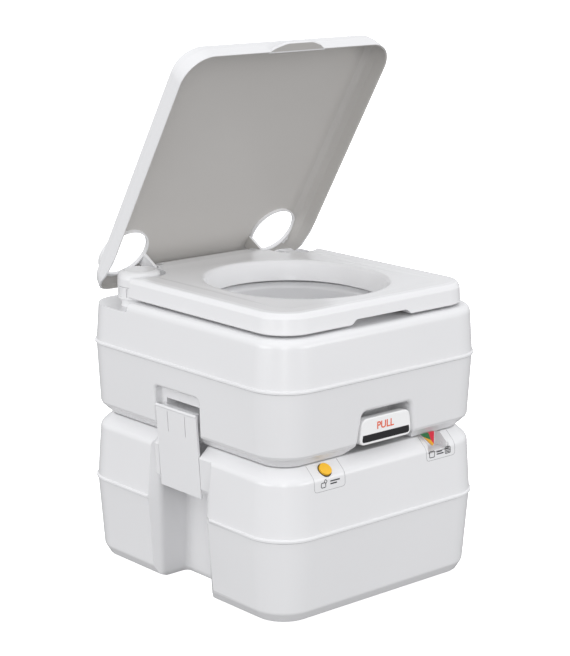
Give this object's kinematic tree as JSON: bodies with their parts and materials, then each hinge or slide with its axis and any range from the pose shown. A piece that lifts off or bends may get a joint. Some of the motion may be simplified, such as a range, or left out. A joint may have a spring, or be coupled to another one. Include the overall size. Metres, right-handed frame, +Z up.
{
  "type": "portable camp toilet",
  "caption": "Portable flush toilet: flush tank with bowl, seat and open lid latched on a waste tank with slide valve and pour-out spout.",
  "frame": {"origin": "on the floor, under the middle of the waste tank", "axes": "+X right seen from the front, front faces -Y, +Z up"},
  "size_m": [0.3752, 0.4214, 0.7144],
  "materials": {
    "tank_shell": "smooth white moulded tank",
    "white_part": "smooth white moulded part",
    "valve_grey": "grey moulded plastic",
    "blade_black": "black moulded plastic",
    "seal_rubber": "black rubber",
    "bumper_rubber": "grey rubber",
    "label_print": "printed label",
    "button_yellow": "yellow plastic",
    "gauge_red": "red plastic",
    "steel": "plain steel"
  },
  "bodies": {
    "waste_body": {"waste_tank": "tank_shell", "valve_base": "valve_grey", "valve_cover": "valve_grey", "valve_lip_seal": "seal_rubber", "air_release_bezel": "valve_grey", "air_release_spring": "steel", "gauge_housing": "white_part", "left_latch_pin": "steel", "right_latch_pin": "steel", "spout_swivel_ring": "valve_grey"},
    "flush_body": {"flush_tank": "tank_shell", "pump_collar": "white_part", "pump_cover": "white_part", "pump_bellows": "seal_rubber", "pump_pipe": "valve_grey", "filler_neck": "white_part", "hinge_pins": "steel", "seat_bumpers": "bumper_rubber"},
    "seat_body": {"seat": "white_part"},
    "lid_body": {"lid": "white_part"},
    "valve_body": {"valve_blade": "blade_black", "pull_handle": "white_part", "handle_label": "label_print"},
    "air_button_body": {"air_release_button": "button_yellow"},
    "gauge_body": {"gauge_flag": "gauge_red"},
    "pump_button_body": {"pump_button": "white_part"},
    "filler_cap_body": {"filler_cap": "white_part"},
    "left_latch_body": {"left_latch": "white_part"},
    "right_latch_body": {"right_latch": "white_part"},
    "spout_body": {"pour_spout": "white_part"},
    "spout_cap_body": {"spout_cap": "valve_grey"}
  },
  "joints": [
    {"name": "flush_tank_lift", "type": "slide", "parent": "waste_body", "child": "flush_body", "axis": [0, 0, 1], "range_m": [0, 0.12]},
    {"name": "seat_hinge", "type": "hinge", "parent": "flush_body", "child": "seat_body", "pos_m": [0, 0.165, 0.395], "axis": [-1, 0, 0], "range_deg": [0, 58]},
    {"name": "lid_hinge", "type": "hinge", "parent": "flush_body", "child": "lid_body", "pos_m": [0, 0.165, 0.395], "axis": [-1, 0, 0], "range_deg": [-59.2, 13]},
    {"name": "valve_slide", "type": "slide", "parent": "waste_body", "child": "valve_body", "axis": [0, -1, 0], "range_m": [0, 0.1]},
    {"name": "air_button_press", "type": "slide", "parent": "waste_body", "child": "air_button_body", "axis": [0, 0.6428, -0.766], "range_m": [0, 0.0034], "stiffness_N_per_m": 400},
    {"name": "gauge_tip", "type": "hinge", "parent": "waste_body", "child": "gauge_body", "pos_m": [0.097, -0.1915, 0.1895], "axis": [1, 0, 0], "range_deg": [0, 20]},
    {"name": "pump_press", "type": "slide", "parent": "flush_body", "child": "pump_button_body", "axis": [0, 0, -1], "range_m": [0, 0.012], "stiffness_N_per_m": 500},
    {"name": "filler_cap_turn", "type": "hinge", "parent": "flush_body", "child": "filler_cap_body", "pos_m": [0.137, 0.136, 0.385], "axis": [0, 0, 1], "range_deg": [0, 90]},
    {"name": "left_latch_hinge", "type": "hinge", "parent": "waste_body", "child": "left_latch_body", "pos_m": [-0.168, 0, 0.168], "axis": [0, -1, 0], "range_deg": [0, 25]},
    {"name": "right_latch_hinge", "type": "hinge", "parent": "waste_body", "child": "right_latch_body", "pos_m": [0.168, 0, 0.168], "axis": [0, 1, 0], "range_deg": [0, 25]},
    {"name": "spout_swivel", "type": "hinge", "parent": "waste_body", "child": "spout_body", "pos_m": [-0.096, 0.168, 0.172], "axis": [0, 0, 1], "range_deg": [0, 90]},
    {"name": "spout_cap_turn", "type": "hinge", "parent": "spout_body", "child": "spout_cap_body", "pos_m": [0.022, 0.168, 0.172], "axis": [1, 0, 0], "range_deg": [0, 360]}
  ]
}
